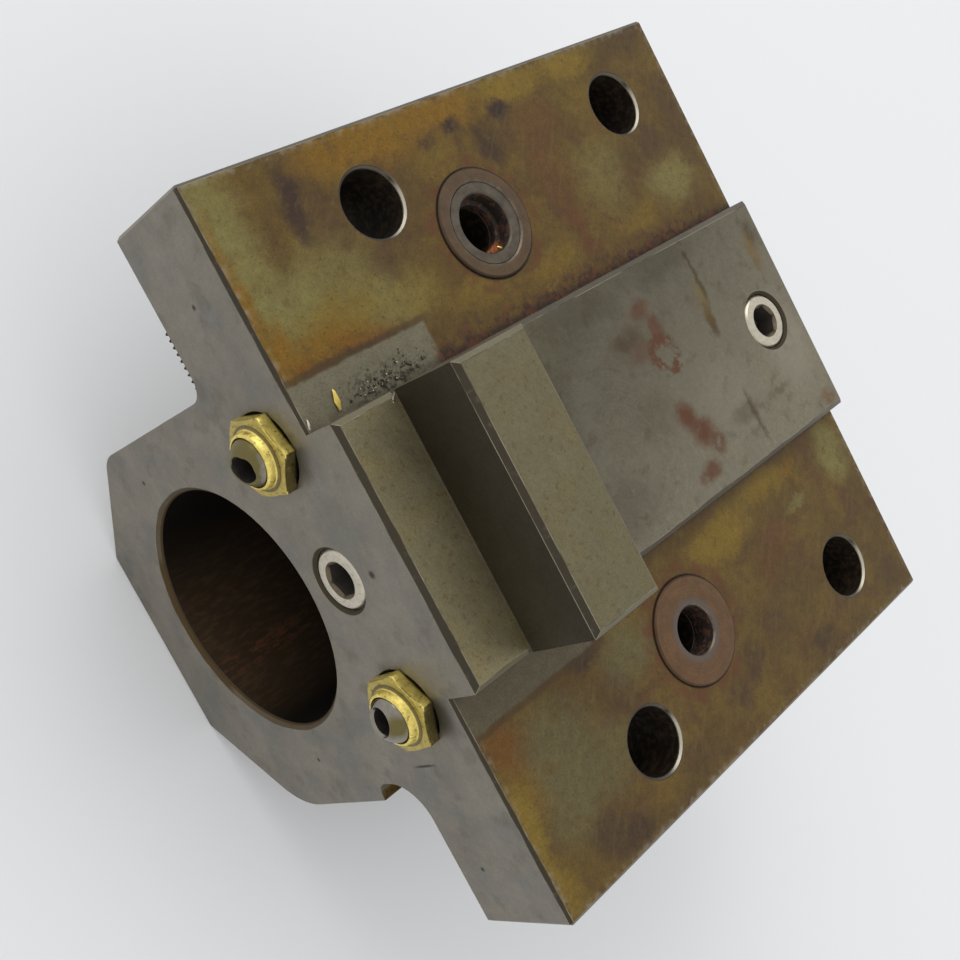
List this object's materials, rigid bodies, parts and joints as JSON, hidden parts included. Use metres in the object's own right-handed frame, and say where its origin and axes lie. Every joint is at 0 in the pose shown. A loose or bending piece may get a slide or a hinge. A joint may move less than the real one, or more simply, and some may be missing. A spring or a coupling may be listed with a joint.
{
  "type": "boring bar holder",
  "caption": "Flange-mounted boring bar holder for a lathe turret, with a stepped key, clamp screws beside the bar bore, coolant ports and swivelling coolant nozzles.",
  "frame": {"origin": "middle of the bolt pattern, in the plane of the mounting face", "axes": "+Z out of the mounting face, +X along the bar bore from the tool side to the back, +Y to the side that carries the clamp screws. Left is +Y and right is -Y, as seen from the tool side."},
  "size_m": [0.1318, 0.139, 0.1141],
  "materials": {
    "holder_steel": "ground and milled steel with oil stains",
    "screw_steel": "black oxide, oily",
    "plug_nickel": "bright nickel plate",
    "bush_steel": "brown with light rust",
    "sleeve_steel": "dull grey",
    "seal_rubber": "matt black",
    "nozzle_brass": "turned brass, slightly oily",
    "seat_plastic": "plain white",
    "ball_steel": "polished steel"
  },
  "bodies": {
    "holder": {"holder_body": "holder_steel", "gallery_plug_front": "plug_nickel", "gallery_plug_key": "plug_nickel", "gallery_plug_left": "plug_nickel", "gallery_plug_right": "plug_nickel", "port_bush_left": "bush_steel", "port_bush_right": "bush_steel", "port_sleeve_left": "sleeve_steel", "port_seal_left": "seal_rubber", "port_seal_right": "seal_rubber", "nozzle_body_left": "nozzle_brass", "nozzle_body_right": "nozzle_brass", "nozzle_retainer_left": "nozzle_brass", "nozzle_retainer_right": "nozzle_brass"},
    "clamp_screw_1": {"clamp_screw_1": "screw_steel"},
    "clamp_screw_2": {"clamp_screw_2": "screw_steel"},
    "clamp_screw_3": {"clamp_screw_3": "screw_steel"},
    "clamp_screw_4": {"clamp_screw_4": "screw_steel"},
    "seat_left": {"nozzle_seat_left": "seat_plastic"},
    "ball_left": {"nozzle_ball_left": "ball_steel"},
    "seat_right": {"nozzle_seat_right": "seat_plastic"},
    "ball_right": {"nozzle_ball_right": "ball_steel"}
  },
  "joints": [
    {"name": "clamp_1", "type": "slide", "parent": "holder", "child": "clamp_screw_1", "axis": [0, -1, 0], "range_m": [-0.008, 0.016]},
    {"name": "clamp_2", "type": "slide", "parent": "holder", "child": "clamp_screw_2", "axis": [0, -1, 0], "range_m": [-0.008, 0.016]},
    {"name": "clamp_3", "type": "slide", "parent": "holder", "child": "clamp_screw_3", "axis": [0, -1, 0], "range_m": [-0.008, 0.016]},
    {"name": "clamp_4", "type": "slide", "parent": "holder", "child": "clamp_screw_4", "axis": [0, -1, 0], "range_m": [-0.008, 0.016]},
    {"name": "nozzle_turn_left", "type": "hinge", "parent": "holder", "child": "seat_left", "pos_m": [-0.0724, 0.025, -0.0131], "axis": [-1, 0, 0], "continuous": true},
    {"name": "nozzle_tilt_left", "type": "hinge", "parent": "seat_left", "child": "ball_left", "pos_m": [-0.0724, 0.025, -0.0131], "axis": [0, 0.5592, 0.829], "range_deg": [-32, 8]},
    {"name": "nozzle_turn_right", "type": "hinge", "parent": "holder", "child": "seat_right", "pos_m": [-0.0724, -0.025, -0.0131], "axis": [-1, 0, 0], "continuous": true},
    {"name": "nozzle_tilt_right", "type": "hinge", "parent": "seat_right", "child": "ball_right", "pos_m": [-0.0724, -0.025, -0.0131], "axis": [0, -0.1392, -0.9903], "range_deg": [-31.5, 8.5]}
  ]
}
